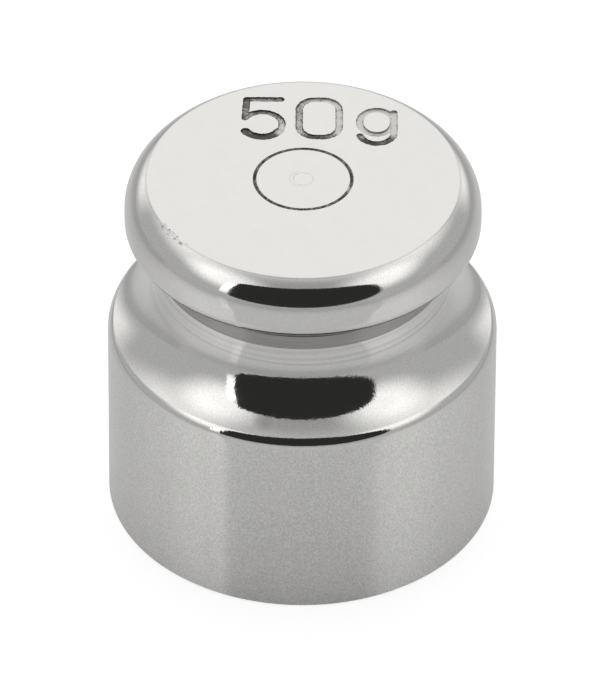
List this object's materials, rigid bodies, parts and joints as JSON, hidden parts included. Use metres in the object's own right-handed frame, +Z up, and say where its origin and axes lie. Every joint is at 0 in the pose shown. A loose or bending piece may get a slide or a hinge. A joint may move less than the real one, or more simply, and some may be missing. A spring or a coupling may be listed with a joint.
{
  "type": "calibration weight",
  "caption": "Squat knob-form calibration weight turned from stainless steel, with a grip groove under the knob, a plugged adjusting cavity and its nominal mass engraved on top.",
  "frame": {"origin": "middle of the flat base, on the axis of the turning", "axes": "+Z up along the axis of the turning, from the base to the flat top; +Y from the axis towards the engraved nominal mass, which is read from the -Y side; +X to the reader's right"},
  "size_m": [0.0212, 0.0212, 0.0213],
  "materials": {
    "turned_steel": "stainless steel, satin on the flat top and the wall, polished on the knob's rim and the shoulder, dull as turned on the neck",
    "plug_steel": "stainless steel, faced flush with the top, satin",
    "shot_steel": "plain steel shot, sealed in the cavity"
  },
  "bodies": {
    "root": {"weight_body": "turned_steel", "cavity_plug": "plug_steel", "adjusting_shot": "shot_steel"}
  },
  "joints": []
}
